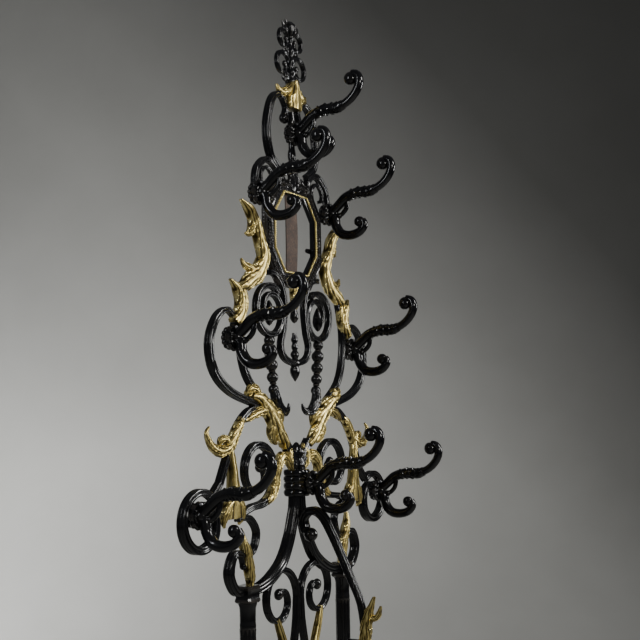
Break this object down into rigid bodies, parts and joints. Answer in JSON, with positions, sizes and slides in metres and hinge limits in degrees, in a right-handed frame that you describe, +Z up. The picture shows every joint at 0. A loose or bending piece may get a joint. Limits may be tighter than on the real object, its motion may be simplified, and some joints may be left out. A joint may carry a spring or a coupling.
{
  "type": "standing coat rack",
  "caption": "Standing coat rack of scrolled cast iron with gilded leaves, double hooks, a framed mirror opening, an umbrella guard and a lift-out drip tray.",
  "frame": {"origin": "on the floor, under the middle of the rack's bounding box", "axes": "+Z up, +X to the right of someone who faces the rack, front towards -Y"},
  "size_m": [0.816, 0.28, 2.1],
  "materials": {
    "black_enamel": "glossy black enamel over cast iron, worn on the edges",
    "gilding": "aged gold leaf with dark brown recesses",
    "bare_strap": "bare brown strap, speckled and dull",
    "screws": "blackened steel with worn bright heads"
  },
  "bodies": {
    "rack": {"arch_bars": "black_enamel", "back_screws": "screws", "back_strap": "bare_strap", "base": "black_enamel", "bead_drops": "black_enamel", "bud_leaves": "gilding", "c_scroll_left": "black_enamel", "c_scroll_right": "black_enamel", "centre_bud": "black_enamel", "collar": "black_enamel", "crest_bars": "black_enamel", "crest_leaf": "gilding", "crest_stem": "black_enamel", "cuff_leaves": "gilding", "drop_leaf": "gilding", "feet": "black_enamel", "finial": "black_enamel", "fluted_leaves": "gilding", "foot_scrolls": "black_enamel", "frame_leaf": "black_enamel", "front_strut": "black_enamel", "guard_bar": "black_enamel", "heart_left": "black_enamel", "heart_right": "black_enamel", "heel_leaves": "gilding", "hook_bosses": "black_enamel", "hook_centre": "black_enamel", "hook_row2_left": "black_enamel", "hook_row2_right": "black_enamel", "hook_row3_left": "black_enamel", "hook_row3_right": "black_enamel", "hook_row4_left": "black_enamel", "hook_row4_right": "black_enamel", "hook_screws": "screws", "hook_top": "black_enamel", "inner_scrolls": "black_enamel", "junction_leaf_left": "gilding", "junction_leaf_right": "gilding", "loops": "black_enamel", "lyre_bar": "black_enamel", "mirror_frame": "black_enamel", "panel_leaf": "gilding", "pendants": "black_enamel", "post_leaves": "gilding", "post_left": "black_enamel", "post_right": "black_enamel", "rails": "black_enamel", "rope_edge": "gilding", "scroll_sleeves": "gilding", "side_leaf_left": "gilding", "side_leaf_right": "gilding", "spiral_left": "black_enamel", "spiral_right": "black_enamel", "strut_leaf": "gilding", "tail_leaves": "gilding", "tail_scrolls": "black_enamel", "volutes": "black_enamel"},
    "tray": {"drip_tray": "black_enamel"},
    "button_left": {"turn_button_left": "black_enamel"},
    "button_right": {"turn_button_right": "black_enamel"}
  },
  "joints": [
    {"name": "tray_lift", "type": "slide", "parent": "rack", "child": "tray", "axis": [0, 0, 1], "range_m": [0, 0.06]},
    {"name": "button_left_turn", "type": "hinge", "parent": "rack", "child": "button_left", "pos_m": [-0.094, 0.1083, 1.59], "axis": [0, 1, 0], "range_deg": [-90, 90]},
    {"name": "button_right_turn", "type": "hinge", "parent": "rack", "child": "button_right", "pos_m": [0.094, 0.1083, 1.59], "axis": [0, 1, 0], "range_deg": [-90, 90]}
  ]
}
